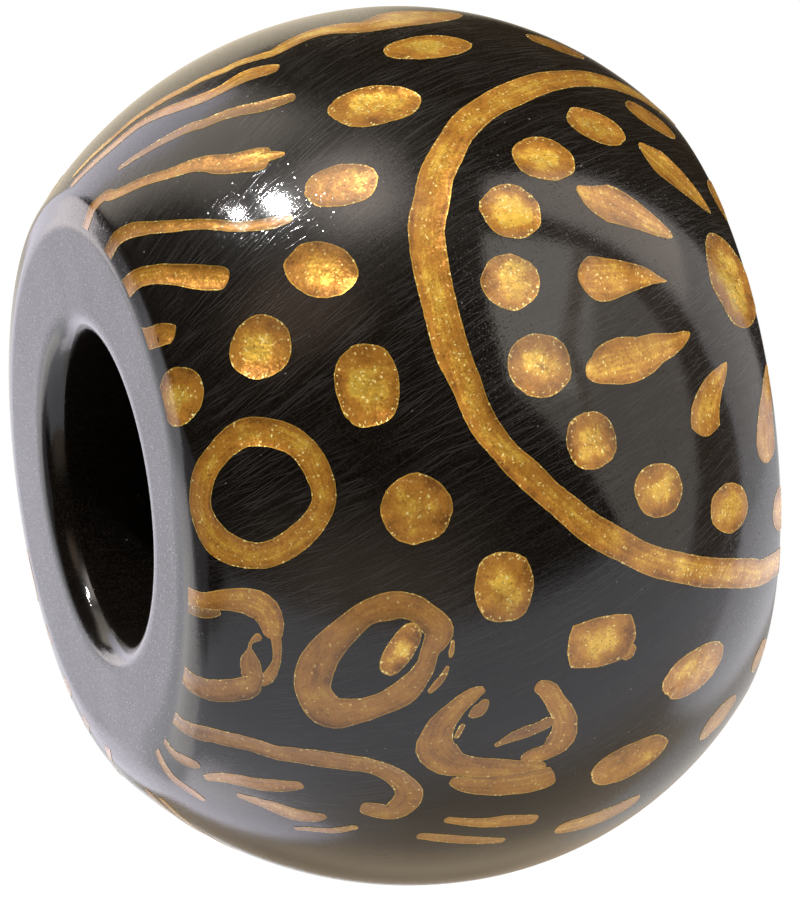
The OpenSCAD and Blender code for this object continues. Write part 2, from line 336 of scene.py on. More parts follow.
# Bead body: two arcs that meet at the widest ring, a narrow bevel and a flat at each end, and a bore
# with rounded lips
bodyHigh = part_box("bead_body")[1]
bead = {
    "outsideR": max(bodyHigh.x, bodyHigh.y) / mm,
    "length": bodyHigh.z / mm,
    "bellyZ": 5.05,
    "upperArc": 7.7,
    "lowerArc": 6.8,
    "upperFlatR": 4.85,
    "lowerFlatR": 5.4,
    "bevelSlope": 0.25,  # rise over run
    "boreR": 2.8,
    "lipR": 0.45,
    "edgeRound": 0.07,
    "wornReach": (0.12, 0.48),  # how far from the upper end's corners it is rubbed down: least, most
    "wornSpan": (-150, -70, -12, 12),  # azimuths where the wear grows, is full, and goes again
    "wornDepth": 1.2,  # how far below the upper end the wear is looked for
    "wornFlat": 0.6,  # and how far in over its flat
    "turns": 256,  # faces round the bead
}


def edgeAngle(arc, flatR, height):
    # where the side's arc meets the bevel's line, as an angle above the widest ring
    slope = math.atan(bead["bevelSlope"])
    centre = bead["outsideR"] - arc
    reach = (flatR - centre) * math.sin(slope) + height * math.cos(slope)
    return math.pi / 2 - slope - math.acos(reach / arc)


upperEdge = edgeAngle(bead["upperArc"], bead["upperFlatR"], bead["length"] - bead["bellyZ"])
lowerEdge = edgeAngle(bead["lowerArc"], bead["lowerFlatR"], bead["bellyZ"])


def makeBody(material):
    b = bead
    bm = bmesh.new()

    def arc(corner, centre, angle, steps):
        made = bmesh.ops.spin(bm, geom=[corner], cent=centre, axis=(0, 1, 0), angle=angle, steps=steps)
        return made["geom_last"][0]

    def line(corner, place, steps):
        start = corner.co.copy()
        for k in range(steps):
            corner = bmesh.ops.extrude_vert_indiv(bm, verts=[corner])["verts"][0]
            corner.co = start.lerp(Vector(place), (k + 1) / steps)
        return corner

    belly = bm.verts.new((b["outsideR"], 0, b["bellyZ"]))
    centre = (b["outsideR"] - b["upperArc"], 0, b["bellyZ"])
    top = arc(belly, centre, -upperEdge + 0.08, 27)
    top = arc(top, centre, -0.08, 8)
    top = line(top, (b["upperFlatR"], 0, b["length"]), 7)
    top = line(top, (b["upperFlatR"] - b["wornFlat"], 0, b["length"]), 8)
    top = line(top, (b["boreR"] + b["lipR"], 0, b["length"]), 7)
    top = arc(top, (b["boreR"] + b["lipR"], 0, b["length"] - b["lipR"]), -math.pi / 2, 10)
    low = arc(belly, (b["outsideR"] - b["lowerArc"], 0, b["bellyZ"]), lowerEdge, 28)
    low = line(low, (b["lowerFlatR"], 0, 0), 3)
    low = line(low, (b["boreR"] + b["lipR"], 0, 0), 10)
    low = arc(low, (b["boreR"] + b["lipR"], 0, b["lipR"]), math.pi / 2, 10)
    line(low, top.co, 25)
    bmesh.ops.spin(bm, geom=bm.verts[:] + bm.edges[:], cent=(0, 0, 0), axis=(0, 0, 1),
                   angle=2 * math.pi, steps=b["turns"], use_merge=True)
    bmesh.ops.remove_doubles(bm, verts=bm.verts, dist=0.0005)

    def ringEdges(radius, height):
        def onRing(vert):
            reach = math.hypot(vert.co.x, vert.co.y)
            return abs(reach - radius) < 0.01 and abs(vert.co.z - height) < 0.01

        return [e for e in bm.edges if all(onRing(v) for v in e.verts)]

    for corner in ((b["lowerFlatR"], 0), profileAt(-lowerEdge * b["lowerArc"])[:2]):
        bmesh.ops.bevel(bm, geom=ringEdges(*corner), offset=b["edgeRound"], offset_type="OFFSET",
                        segments=4, profile=0.5, affect="EDGES", material=-1)
    for vert in bm.verts:
        reach = math.hypot(vert.co.x, vert.co.y)
        if vert.co.z > b["length"] - b["wornDepth"] and reach > b["upperFlatR"] - b["wornFlat"]:
            onFlat = max(b["upperFlatR"] - reach, 0)
            vert.co += wear(turnOf(vert.co), alongAt(vert.co.z) + onFlat)
    bmesh.ops.recalc_face_normals(bm, faces=bm.faces)
    bmesh.ops.scale(bm, vec=(mm, mm, mm), verts=bm.verts)
    for face in bm.faces:
        face.smooth = True
    return makeObject("polishedBody", bm, material)


def turnOf(place):
    return math.atan2(place.x, -place.y)


def wear(turn, along):
    # how far a point near the upper end's two corners is rubbed down, as a step into the bead
    start, full, last, end = bead["wornSpan"]
    azimuth = math.degrees(turn)
    share = min(max(min((azimuth - start) / (full - start), (end - azimuth) / (end - last)), 0), 1)
    share = share * share * (3 - 2 * share)
    least, most = bead["wornReach"]
    span = least + (most - least) * share
    slope = math.atan(bead["bevelSlope"])
    corner = upperEdge * bead["upperArc"]
    bevelLong = (bead["length"] - profileAt(corner)[1]) / math.sin(slope)
    step = Vector((0, 0, 0))
    for place, lower, higher in ((corner, upperEdge, math.pi / 2 - slope),
                                 (corner + bevelLong, math.pi / 2 - slope, math.pi / 2)):
        near = max(1 - abs(along - place) / span, 0)
        depth = span * math.tan((higher - lower) / 2) / 2 * near * near
        lean = (lower + higher) / 2
        level = math.cos(lean)
        outward = Vector((math.sin(turn) * level, -math.cos(turn) * level, math.sin(lean)))
        step -= outward * depth
    return step


# Where things lie on the skin: turn is the azimuth in radians, along the length up the side from the
# widest ring
def alongAt(height):
    arc, edge = bead["lowerArc"], lowerEdge
    if height > bead["bellyZ"]:
        arc, edge = bead["upperArc"], upperEdge
    rise = height - bead["bellyZ"]
    if abs(rise) < arc * math.sin(edge):
        return arc * math.asin(rise / arc)
    slope = math.atan(bead["bevelSlope"])
    past = (abs(rise) - arc * math.sin(edge)) / math.sin(slope)
    return math.copysign(arc * edge + past, rise)


def profileAt(along):
    # radius, height and the lean of the outward normal
    arc, edge = (bead["upperArc"], upperEdge) if along > 0 else (bead["lowerArc"], lowerEdge)
    way = 1 if along > 0 else -1
    angle = min(abs(along) / arc, edge)
    past = abs(along) - arc * angle
    slope = math.atan(bead["bevelSlope"])
    radius = bead["outsideR"] - arc + arc * math.cos(angle) - past * math.cos(slope)
    height = bead["bellyZ"] + way * (arc * math.sin(angle) + past * math.sin(slope))
    lean = way * (math.pi / 2 - slope if past > 1e-9 else angle)
    return radius, height, lean


def skinPoint(turn, along, lift):
    radius, height, lean = profileAt(along)
    level = radius + lift * math.cos(lean)
    return Vector((level * math.sin(turn), -level * math.cos(turn), height + lift * math.sin(lean)))


# Varnish, the same over black and gold. Across and along are a scratch's numbers per mm and its angle
# is from the way round the bead; it shows where its noise is above faint, and fully at bold
finish = {
    "waviness": 0.009,  # mm, the slow unevenness of hand polishing
    "wavesPerMm": 0.42,
    "grain": 0.0008,
    "grainPerMm": 24.0,
    "pitsPerMm": 30.0,
    "pitSize": 0.34,  # share of the space between them
    "pitTilt": 0.20,
    "unpitted": 0.4,  # share of the places that stay clean
    "scratchDepth": 0.0005,
    "scratches": [
        {"angle": -70, "across": 50.0, "along": 0.6, "faint": 0.48, "bold": 0.76, "share": 0.60},
        {"angle": -66, "across": 26.0, "along": 0.5, "faint": 0.70, "bold": 0.76, "share": 1.0},
        {"angle": -79, "across": 30.0, "along": 0.8, "faint": 0.71, "bold": 0.77, "share": 0.9},
    ],
}


def polishNormal(tree, coords, lines):
    # pits at all angles, slow waves, grain and scratches
    cells = addNode(tree, "ShaderNodeTexVoronoi", {"Vector": coords, "Scale": finish["pitsPerMm"] / mm})
    chance = addNode(tree, "ShaderNodeSeparateColor", {0: cells.outputs["Color"]})
    inPit = calc(tree, "LESS_THAN", cells.outputs["Distance"], finish["pitSize"])
    marred = calc(tree, "GREATER_THAN", chance.outputs[0], finish["unpitted"])
    amount = calc(tree, "MULTIPLY", calc(tree, "MULTIPLY", inPit, marred), finish["pitTilt"])
    redMiddle = (1 + finish["unpitted"]) / 2  # of the places that are left
    normal = tipped(tree, cells.outputs["Color"], (redMiddle, 0.5, 0.5), amount)
    slow = addNode(tree, "ShaderNodeTexNoise", {"Vector": coords, "Scale": finish["wavesPerMm"] / mm,
                                                "Detail": 1.0})
    normal = bump(tree, slow.outputs[0], finish["waviness"], normal)
    grit = addNode(tree, "ShaderNodeTexNoise", {"Vector": coords, "Scale": finish["grainPerMm"] / mm,
                                                "Detail": 2.0})
    normal = bump(tree, grit.outputs[0], finish["grain"], normal)
    return bump(tree, lines, -finish["scratchDepth"], normal)


def scratchLines(tree, coords):
    # 0 on clean varnish, up to 1 on a polishing mark, drawn on the skin as if it were unrolled, in mm
    x, y, z = addNode(tree, "ShaderNodeSeparateXYZ", {0: coords}).outputs
    turn = calc(tree, "ARCTAN2", x, calc(tree, "MULTIPLY", y, -1.0))
    wayRound = calc(tree, "MULTIPLY", turn, bead["outsideR"])
    reach = calc(tree, "SQRT", calc(tree, "MULTIPLY_ADD", x, x, calc(tree, "MULTIPLY", y, y)))
    inset = calc(tree, "MULTIPLY_ADD", reach, -1 / mm, bead["outsideR"])
    half = ease(tree, z, (bead["bellyZ"] - 0.05) * mm, (bead["bellyZ"] + 0.05) * mm, -1.0, 1.0)
    height = calc(tree, "MULTIPLY_ADD", inset, half, calc(tree, "MULTIPLY", z, 1 / mm))
    flat = addNode(tree, "ShaderNodeCombineXYZ", {0: wayRound, 1: height}).outputs[0]
    total = 0.0
    for s in finish["scratches"]:
        lined = addNode(tree, "ShaderNodeMapping", {
            "Vector": flat, "Rotation": (0, 0, math.radians(s["angle"])),
            "Scale": (1 / s["along"], 1 / s["across"], 1)}, vector_type="TEXTURE")
        drawn = addNode(tree, "ShaderNodeTexNoise", {
            "Vector": lined.outputs[0], "Scale": 1.0, "Detail": 0.0}, noise_dimensions="2D")
        level = ease(tree, drawn.outputs[0], s["faint"], s["bold"], 0.0, s["share"])
        total = calc(tree, "MAXIMUM", level, total)
    patches = addNode(tree, "ShaderNodeTexNoise", {"Vector": coords, "Scale": finish["wavesPerMm"] / mm,
                                                   "Detail": 2.0})
    patchy = ease(tree, patches.outputs[0], 0.36, 0.62, 0.35, 1.0)
    flatR = bead["lowerFlatR"] * mm
    outside = ease(tree, reach, 0.9 * flatR, 1.1 * flatR, 0.2, 1.0)  # fewer on the ends
    return calc(tree, "MULTIPLY", total, calc(tree, "MULTIPLY", patchy, outside))


resin = {
    "deep": (0.0020, 0.0015, 0.0011, 1),
    "lit": (0.013, 0.009, 0.006, 1),  # its fine speckle
    "scratched": (0.021, 0.019, 0.017, 1),
    "dust": (0.5, 0.47, 0.42, 1),
    "specklePerMm": 30.0,
    "specksPerMm": 5.2,  # places where dust may lie
    "speckSize": 0.10,  # the largest speck, as a share of the space between them
    "haze": 0.36,  # roughness of the wide faint shine under the clear coat
    "coatRoughness": 0.07,
}


def makeBlack():
    material = bpy.data.materials.new("blackResin")
    material.use_nodes = True
    tree = material.node_tree
    shader = tree.nodes["Principled BSDF"]
    coords = addNode(tree, "ShaderNodeTexCoord").outputs["Object"]
    lines = scratchLines(tree, coords)
    cells = addNode(tree, "ShaderNodeTexVoronoi", {"Vector": coords,
                                                   "Scale": resin["specksPerMm"] / mm})
    chance = addNode(tree, "ShaderNodeSeparateColor", {0: cells.outputs["Color"]})
    dustSize = ease(tree, chance.outputs[0], 0.80, 1.0, 0.0, resin["speckSize"])
    dust = calc(tree, "LESS_THAN", cells.outputs["Distance"], dustSize)
    speckle = addNode(tree, "ShaderNodeTexNoise", {"Vector": coords, "Detail": 2.0,
                                                   "Scale": resin["specklePerMm"] / mm})
    colour = mixColours(tree, ease(tree, speckle.outputs[0], 0.46, 0.72), resin["deep"], resin["lit"])
    colour = mixColours(tree, lines, colour, resin["scratched"])
    thick = calc(tree, "MULTIPLY", chance.outputs[1], 0.30)
    colour = mixColours(tree, calc(tree, "MULTIPLY", dust, thick), colour, resin["dust"])
    tree.links.new(colour, shader.inputs["Base Color"])
    shader.inputs["IOR"].default_value = 1.5
    shader.inputs["Roughness"].default_value = resin["haze"]
    shader.inputs["Specular IOR Level"].default_value = 0.03
    shader.inputs["Coat Weight"].default_value = 1
    shader.inputs["Coat Roughness"].default_value = resin["coatRoughness"]
    shader.inputs["Coat IOR"].default_value = 1.5
    tree.links.new(polishNormal(tree, coords, lines), shader.inputs["Coat Normal"])
    return material


gold = {
    "brown": (0.17, 0.062, 0.008, 1),
    "amber": (0.44, 0.190, 0.024, 1),
    "bright": (0.82, 0.51, 0.070, 1),
    # pale is the colour of the painted glints
    "pale": (1.0, 0.84, 0.30, 1),
    # dull brown: the paint's own dullness, and also painted shade on marks that face away from the
    # light
    "dullAndShaded": (0.115, 0.060, 0.022, 1),
    "flakesPerMm": 30.0,
    "cloudsPerMm": 1.9,
    "grainPerMm": 26.0,
    "lumpsPerMm": 2.6,
    "lie": 0.16,  # how far a flake tips from the paint's surface
    "lumps": 0.05,  # mm
    "hollow": 0.20,  # depth of a mark's dip, as a share of half its width
    "metal": (0.32, 0.6),  # in the margin and in the heart, where the highlight is painted
    "coatRoughness": 0.09,
}


def makeGold():
    material = bpy.data.materials.new("goldMica")
    material.use_nodes = True
    tree = material.node_tree
    shader = tree.nodes["Principled BSDF"]
    coords = addNode(tree, "ShaderNodeTexCoord").outputs["Object"]
    rim = addNode(tree, "ShaderNodeAttribute", attribute_name="rim").outputs["Fac"]
    half = addNode(tree, "ShaderNodeAttribute", attribute_name="half").outputs["Fac"]
    toneAndLight = addNode(tree, "ShaderNodeAttribute", attribute_name="toneAndLight").outputs["Fac"]
    stroke = addNode(tree, "ShaderNodeAttribute", attribute_name="stroke").outputs["Vector"]

    # soft mica clouds: a brown margin round a bright heart. The heart is a painted highlight that
    # stands in for the light a dished mark catches, and it shows on the brighter-painted marks
    clouds = addNode(tree, "ShaderNodeTexNoise", {"Vector": coords, "Scale": gold["cloudsPerMm"] / mm,
                                                  "Detail": 3.0, "Roughness": 0.6})
    grain = addNode(tree, "ShaderNodeTexNoise", {"Vector": coords, "Scale": gold["grainPerMm"] / mm,
                                                 "Detail": 2.0})
    brushed = addNode(tree, "ShaderNodeTexNoise", {"Vector": stroke, "Scale": 1.0, "Detail": 3.0})
    level = calc(tree, "MULTIPLY", brushed.outputs[0], 0.35)
    level = calc(tree, "MULTIPLY_ADD", clouds.outputs[0], 0.50, level)
    level = calc(tree, "MULTIPLY_ADD", grain.outputs[0], 0.26, level)
    margin = calc(tree, "MULTIPLY_ADD", clouds.outputs[0], -0.9, calc(tree, "ADD", rim, 0.45))
    # painted highlight: the heart is coloured bright where the dished paint would catch the light
    paintedHighlight = calc(tree, "MULTIPLY", ease(tree, margin, 0.25, 0.75, 1.0, 0.0), ease(tree, toneAndLight, 0.3, 0.9))
    level = calc(tree, "MULTIPLY_ADD", paintedHighlight, 0.22, level)
    level = calc(tree, "SUBTRACT", level, ease(tree, rim, 0.6, 0.95, 0.0, 0.07))
    dark = mixColours(tree, ease(tree, level, 0.34, 0.58), gold["brown"], gold["amber"])
    colour = mixColours(tree, ease(tree, level, 0.56, 0.82), dark, gold["bright"])
    # painted shade, together with the paint's own dullness: low-valued marks go to a dull brown
    colour = mixColours(tree, ease(tree, toneAndLight, 0.0, 0.55, 0.8, 0.0), colour, gold["dullAndShaded"])

    # painted highlights: a thin bright line painted along each mark's edge, and flakes painted pale as
    # glints, most near the edge and the heart, where the light would catch them in sparks
    inward = calc(tree, "MULTIPLY", calc(tree, "SUBTRACT", 1.0, rim), half)
    edge = ease(tree, inward, 0.0, 0.030, 0.45, 0.0)
    colour = mixColours(tree, edge, colour, gold["bright"])
    cells = addNode(tree, "ShaderNodeTexVoronoi", {"Vector": coords, "Scale": gold["flakesPerMm"] / mm})
    flake = addNode(tree, "ShaderNodeSeparateColor", {0: cells.outputs["Color"]})
    nearEdge = ease(tree, inward, 0.02, 0.12, 0.09, 0.0)
    chance = calc(tree, "MULTIPLY_ADD", paintedHighlight, 0.08, flake.outputs[0])
    chance = calc(tree, "MULTIPLY_ADD", edge, 0.22, chance)
    chance = calc(tree, "MULTIPLY_ADD", nearEdge, ease(tree, toneAndLight, 0.4, 1.0), chance)
    # painted glints: a few flakes coloured pale, as if they caught the light
    paintedGlint = ease(tree, chance, 0.96, 1.04, 0.0, 0.9)
    pit = ease(tree, flake.outputs[1], 0.93, 1.0, 0.0, 0.55)
    colour = mixColours(tree, paintedGlint, colour, gold["pale"])
    colour = mixColours(tree, pit, colour, gold["brown"])
    tree.links.new(colour, shader.inputs["Base Color"])
    # the metal is raised under the painted highlight
    tree.links.new(ease(tree, paintedHighlight, 0.0, 1.0, *gold["metal"]), shader.inputs["Metallic"])
    shader.inputs["IOR"].default_value = 1.5
    shader.inputs["Specular IOR Level"].default_value = 0.12
    tree.links.new(ease(tree, clouds.outputs[0], 0.3, 0.7, 0.44, 0.34), shader.inputs["Roughness"])

    # flakes that lie at their own angles, on paint that is dished and a little lumpy
    normal = tipped(tree, cells.outputs["Color"], (0.5, 0.5, 0.5), gold["lie"])
    lumps = addNode(tree, "ShaderNodeTexNoise", {"Vector": coords, "Scale": gold["lumpsPerMm"] / mm,
                                                 "Detail": 3.0})
    normal = bump(tree, lumps.outputs[0], gold["lumps"], normal)
    dip = calc(tree, "MULTIPLY", calc(tree, "POWER", rim, 2.4), half)
    normal = bump(tree, dip, gold["hollow"], normal)
    tree.links.new(normal, shader.inputs["Normal"])
    shader.inputs["Coat Weight"].default_value = 1
    shader.inputs["Coat Roughness"].default_value = gold["coatRoughness"]
    shader.inputs["Coat IOR"].default_value = 1.5
    varnish = polishNormal(tree, coords, scratchLines(tree, coords))
    tree.links.new(varnish, shader.inputs["Coat Normal"])
    return material


black = makeBlack()
mica = makeGold()
body = makeBody(black)
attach(body, "root")
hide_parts("bead_body")
print("body turned:", len(body.data.polygons), "faces")


# Gold marks: each is charted by its azimuth, in degrees from -Y towards +X, and its height above the
# lower end, in mm
paint = {
    "proud": 0.004,  # mm that a mark stands above the skin
    "deep": 0.05,
    "cell": 0.085,  # size of its faces
    "waver": 0.035,  # share of its size by which a hand-drawn edge strays
    "ragged": 0.012,  # mm, fine roughness of the edge
    "copies": 2,  # times that the pattern goes round the bead
    "shy": 0.012,  # mm by which the marks stop short of the flat ends
    "crease": 40,  # degrees at which a mark's edge is drawn sharp
}


def newMarks():
    bm = bmesh.new()
    for name in ("rim", "half", "toneAndLight"):
        bm.verts.layers.float.new(name)
    bm.verts.layers.float_vector.new("stroke")
    return bm


def setMark(bm, vert, rim, half, toneAndLight, stroke):
    vert[bm.verts.layers.float["rim"]] = rim
    vert[bm.verts.layers.float["half"]] = half
    vert[bm.verts.layers.float["toneAndLight"]] = toneAndLight
    vert[bm.verts.layers.float_vector["stroke"]] = stroke


def liftOf(seed):
    # marks that overlap stand at slightly different heights
    return paint["proud"] + 0.0006 * (seed % 5)


def addDot(bm, azimuth, height, across, up, lean=0.0, square=0.0, seed=0, toneAndLight=0.6):
    # a round blob: a grid drawn in to a disc, its outline strayed, laid on the skin
    cuts = max(10, round(max(across, up) / paint["cell"]))
    made = bmesh.ops.create_grid(bm, x_segments=cuts, y_segments=cuts, size=1)
    middle, turned = alongAt(height), math.radians(lean)
    radius = profileAt(middle)[0]
    for vert in made["verts"]:
        x, y = vert.co.x, vert.co.y
        u, v = x * math.sqrt(1 - y * y / 2), y * math.sqrt(1 - x * x / 2)
        rim, way = math.hypot(u, v), math.atan2(v, u)
        stray = noise.noise(Vector((1.6 * math.cos(way), 1.6 * math.sin(way), seed * 7.3)))
        rough = noise.noise(Vector((9 * math.cos(way), 9 * math.sin(way), seed * 3.1)))
        boxed = 1 + square * (1 / max(abs(math.cos(way)), abs(math.sin(way))) - 1)
        grow = boxed * (1 + 2.2 * paint["waver"] * stray) + rim * paint["ragged"] * rough * 2 / across
        u, v = u * grow * across / 2, v * grow * up / 2
        east = u * math.cos(turned) - v * math.sin(turned)
        north = u * math.sin(turned) + v * math.cos(turned)
        vert.co = skinPoint(math.radians(azimuth) + east / radius, middle + north, liftOf(seed))
        setMark(bm, vert, rim, min(across, up) / 2, toneAndLight, Vector((3 * u + seed, 3 * v, seed * 1.7)))


def between(rows, share, closed):
    # a smooth curve through the rows of a table, every column of it
    spans = len(rows) if closed else len(rows) - 1
    place = min(max(share, 0.0), 1.0) * spans
    k = min(int(place), spans - 1)
    t = place - k

    def row(n):
        return rows[n % len(rows)] if closed else rows[min(max(n, 0), len(rows) - 1)]

    before, start, end, after = row(k - 1), row(k), row(k + 1), row(k + 2)
    return [0.5 * (2 * b + (c - a) * t + (2 * a - 5 * b + 4 * c - d) * t * t
                   + (3 * b - a - 3 * c + d) * t ** 3)
            for a, b, c, d in zip(before, start, end, after)]


def endShare(left, wide, blunt):
    # how far a stroke has narrowed where only so much of it is left: a half round, or longer and finer
    if blunt >= 1:
        return math.sqrt(1 - (1 - min(max(left / (wide / 2), 0), 1)) ** 2)
    return min(max(left / (wide * (3.5 - 3 * blunt)), 0), 1) ** 0.7


def addStroke(bm, rows, closed=False, ends=(1.0, 1.0), seed=0, toneAndLight=0.6):
    # a brush stroke: a grid bent along its middle line, as wide as its rows say
    line = [(math.radians(a), alongAt(h), w) for a, h, w in rows]
    lengths = []
    for k in range(len(line) - (0 if closed else 1)):
        here, there = line[k], line[(k + 1) % len(line)]
        radius = profileAt(here[1])[0]
        lengths.append(math.hypot((there[0] - here[0]) * radius, there[1] - here[1]))
    length = sum(lengths)
    width = max(w for _, _, w in line)
    cuts = max(8, round(length / paint["cell"]))
    rank = max(4, round(width / paint["cell"]))
    made = bmesh.ops.create_grid(bm, x_segments=cuts, y_segments=rank, size=1)
    for vert in made["verts"]:
        x, y = vert.co.x, vert.co.y
        share = (x + 1) / 2 if closed else (1 - math.cos(math.pi * (x + 1) / 2)) / 2
        turn, along, wide = between(line, share, closed)
        wide = max(wide, 0.03)
        nearby = [share + 0.01, share - 0.01]
        if closed:
            nearby = [s % 1 for s in nearby]
        ahead, behind = [between(line, s, closed) for s in nearby]
        radius = profileAt(along)[0]
        heading = Vector(((ahead[0] - behind[0]) * radius, ahead[1] - behind[1])).normalized()
        walked = share * length
        if not closed:
            wide *= endShare(walked, wide, ends[0]) * endShare(length - walked, wide, ends[1])
        slow, quick = Vector((walked * 1.1, 0, seed)), Vector((walked * 9, 4, seed))
        if closed:
            ring = Vector((math.cos(share * 2 * math.pi), math.sin(share * 2 * math.pi)))
            slow = Vector((ring.x * 1.5, ring.y * 1.5, seed))
            quick = Vector((ring.x * length * 1.6, ring.y * length * 1.6, seed))
        side = 1 if y > 0 else -1
        stray = noise.noise(slow + Vector((0, 0, side * 5.5))) * paint["waver"] * 4
        rough = noise.noise(quick + Vector((0, 0, side * 3.7))) * paint["ragged"]
        offset = y * wide / 2 * (1 + stray) + y * rough * min(1, wide / 0.1)
        east, north = -heading.y * offset, heading.x * offset
        vert.co = skinPoint(turn + east / radius, along + north, liftOf(seed))
        stroke = Vector((walked * 0.8, y * wide * 7 + seed, seed * 2.3))
        setMark(bm, vert, abs(y), wide / 2, toneAndLight, stroke)


def wearMarks(verts):
    for vert in verts:
        if vert.co.z > bead["length"] - bead["wornDepth"]:
            vert.co += wear(turnOf(vert.co), alongAt(vert.co.z - paint["proud"]))


def finishMarks(name, bm, *nodes):
    # cuts the marks off at the flat ends, gives them their depth and repeats them round the bead
    bmesh.ops.remove_doubles(bm, verts=bm.verts, dist=0.0008)
    for corner in (upperEdge * bead["upperArc"], -lowerEdge * bead["lowerArc"]):
        height = profileAt(corner)[1]
        made = bmesh.ops.bisect_plane(bm, geom=bm.verts[:] + bm.edges[:] + bm.faces[:], dist=0.0001,
                                      plane_co=(0, 0, height), plane_no=(0, 0, 1))
        for vert in made["geom_cut"]:
            if isinstance(vert, bmesh.types.BMVert):
                vert.co = skinPoint(turnOf(vert.co), corner, paint["proud"])
    for height, way in ((bead["length"] - paint["shy"], 1), (paint["shy"], -1)):
        bmesh.ops.bisect_plane(bm, geom=bm.verts[:] + bm.edges[:] + bm.faces[:], dist=0.0001,
                               plane_co=(0, 0, height), plane_no=(0, 0, way), clear_outer=True)
    wearMarks(bm.verts)
    bmesh.ops.recalc_face_normals(bm, faces=bm.faces)
    for face in bm.faces:
        if face.normal.dot(face.calc_center_median() - Vector((0, 0, bead["bellyZ"]))) < 0:
            face.normal_flip()
    bmesh.ops.solidify(bm, geom=bm.faces[:], thickness=paint["deep"])
    for k in range(1, paint["copies"]):
        once = bm.verts[:] + bm.edges[:] + bm.faces[:]
        made = bmesh.ops.duplicate(bm, geom=once)
        verts = [v for v in made["geom"] if isinstance(v, bmesh.types.BMVert)]
        turned = Matrix.Rotation(2 * math.pi * k / paint["copies"], 3, "Z")
        bmesh.ops.rotate(bm, verts=verts, matrix=turned)
        wearMarks(verts)
    bmesh.ops.scale(bm, vec=(mm, mm, mm), verts=bm.verts)
    for face in bm.faces:
        face.smooth = True
    for edge in bm.edges:
        edge.smooth = edge.calc_face_angle(0) < math.radians(paint["crease"])
    marks = makeObject(name, bm, mica)
    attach(marks, "root")
    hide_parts(*nodes)
    print(name, "laid:", len(marks.data.polygons), "faces")


# azimuth, height, size round the bead, size up the side, lean, squareness
dots = [
    # round the flower, inside the circle
    (50.3, 1.03, 0.72, 1.25, -8, 0),
    (42.7, 2.55, 0.90, 1.16, -9, 0.1),
    (35.8, 3.94, 1.02, 1.16, 0, 0),
    (28.2, 4.93, 1.08, 1.10, 15, 0.1),
    (18.7, 5.32, 1.04, 1.04, 30, 0.1),
    (7.5, 5.13, 1.12, 1.14, 10, 0.1),
    (-2.8, 4.4, 1.00, 0.98, 0, 0.1),
    (-10.5, 3.15, 0.97, 1.04, -10, 0.1),
    (-15.8, 1.58, 0.92, 1.10, -15, 0),
    (-20.4, 0.15, 0.80, 0.70, 0, 0),
    # following the circle outside it
    (66.6, 2.1, 0.72, 1.25, 0, 0),
    (60.5, 4.9, 0.92, 1.65, 0, 0),
    (49.8, 6.46, 1.10, 1.62, -12, 0),
    (38, 7.58, 0.90, 1.32, -12, 0.1),
    (26.6, 8.37, 1.02, 1.34, -42, 0),
    (8.8, 8.10, 1.46, 1.12, -6, 0.1),
    (-8.5, 7.61, 1.22, 1.22, 35, 0.1),
    (-19.9, 6.2, 1.30, 1.06, 0, 0.1),
    (-29.2, 4.38, 1.00, 1.36, 0, 0.45),
    (-31.6, 3.84, 0.34, 0.34, 0, 0),
    (-39.2, 2.28, 1.06, 1.50, 0, 0.1),
    (-51.6, 3.40, 1.08, 1.68, 0, 0),
    (-55.6, 1.24, 0.86, 1.06, 0, 0),
    (-49.6, 0.35, 0.80, 0.50, 0, 0),
    # between the flower circle and the upper end
    (18.3, 9.57, 1.14, 1.14, 45, 0),
    (15.5, 10.88, 1.04, 1.12, 0, 0),
]

# petals from one end to the other, and the flower's centre: azimuth, height, width
petals = [
    [(41, 0.10, 0.30), (38.5, 0.18, 0.40), (35, 0.20, 0.35), (32, 0.15, 0.10)],
    [(41.2, 1.75, 0.12), (39.2, 1.52, 0.62), (36.3, 1.12, 1.12), (33.4, 0.80, 0.84),
     (31.3, 0.60, 0.15)],
    [(31.2, 3.52, 0.12), (29.5, 3.24, 0.62), (28.1, 2.80, 0.98), (26.5, 2.36, 0.80),
     (25.0, 1.98, 0.52), (24.3, 1.82, 0.28)],
    [(18.2, 4.05, 0.35), (18.0, 3.85, 0.80), (17.8, 3.55, 0.94), (17.9, 3.25, 0.78),
     (17.9, 2.95, 0.62), (17.8, 2.65, 0.42), (17.4, 2.42, 0.14), (17.2, 2.25, 0.06)],
    [(6.2, 4.30, 0.25), (6.0, 4.10, 0.52), (6.4, 3.80, 0.78), (6.6, 3.50, 0.88), (7.0, 3.15, 0.76),
     (7.9, 2.80, 0.56), (8.4, 2.45, 0.48), (9.3, 2.15, 0.32), (9.8, 2.00, 0.16)],
    [(-4.8, 1.98, 0.20), (-3.6, 1.98, 0.74), (-1.8, 1.96, 0.98), (0.2, 1.84, 0.88),
     (2.2, 1.66, 0.62), (3.6, 1.46, 0.40), (4.6, 1.34, 0.26), (5.3, 1.26, 0.14)],
    [(-11.3, 0.50, 0.20), (-10, 0.50, 0.60), (-7.5, 0.48, 0.82), (-4.5, 0.42, 0.74),
     (-1, 0.32, 0.54), (2.5, 0.22, 0.34), (5, 0.15, 0.12)],
]
centres = [(18.7, 0.62, 1.80, 1.46, 5, 0)]

# the circle round the flower: azimuth, height, width
circle = [
    (64, -0.60, 0.50), (60, 0.60, 0.50), (55.3, 2.05, 0.52), (49.3, 3.60, 0.56), (42.8, 5.10, 0.56),
    (34.5, 6.04, 0.62), (26.5, 6.52, 0.66), (16, 6.66, 0.62), (6, 6.47, 0.56), (-1, 6.14, 0.52),
    (-8, 5.38, 0.52), (-14.8, 4.37, 0.54), (-21, 3.00, 0.54), (-26.7, 1.30, 0.54),
    (-30.2, 0.35, 0.50), (-34, -0.70, 0.50),
]

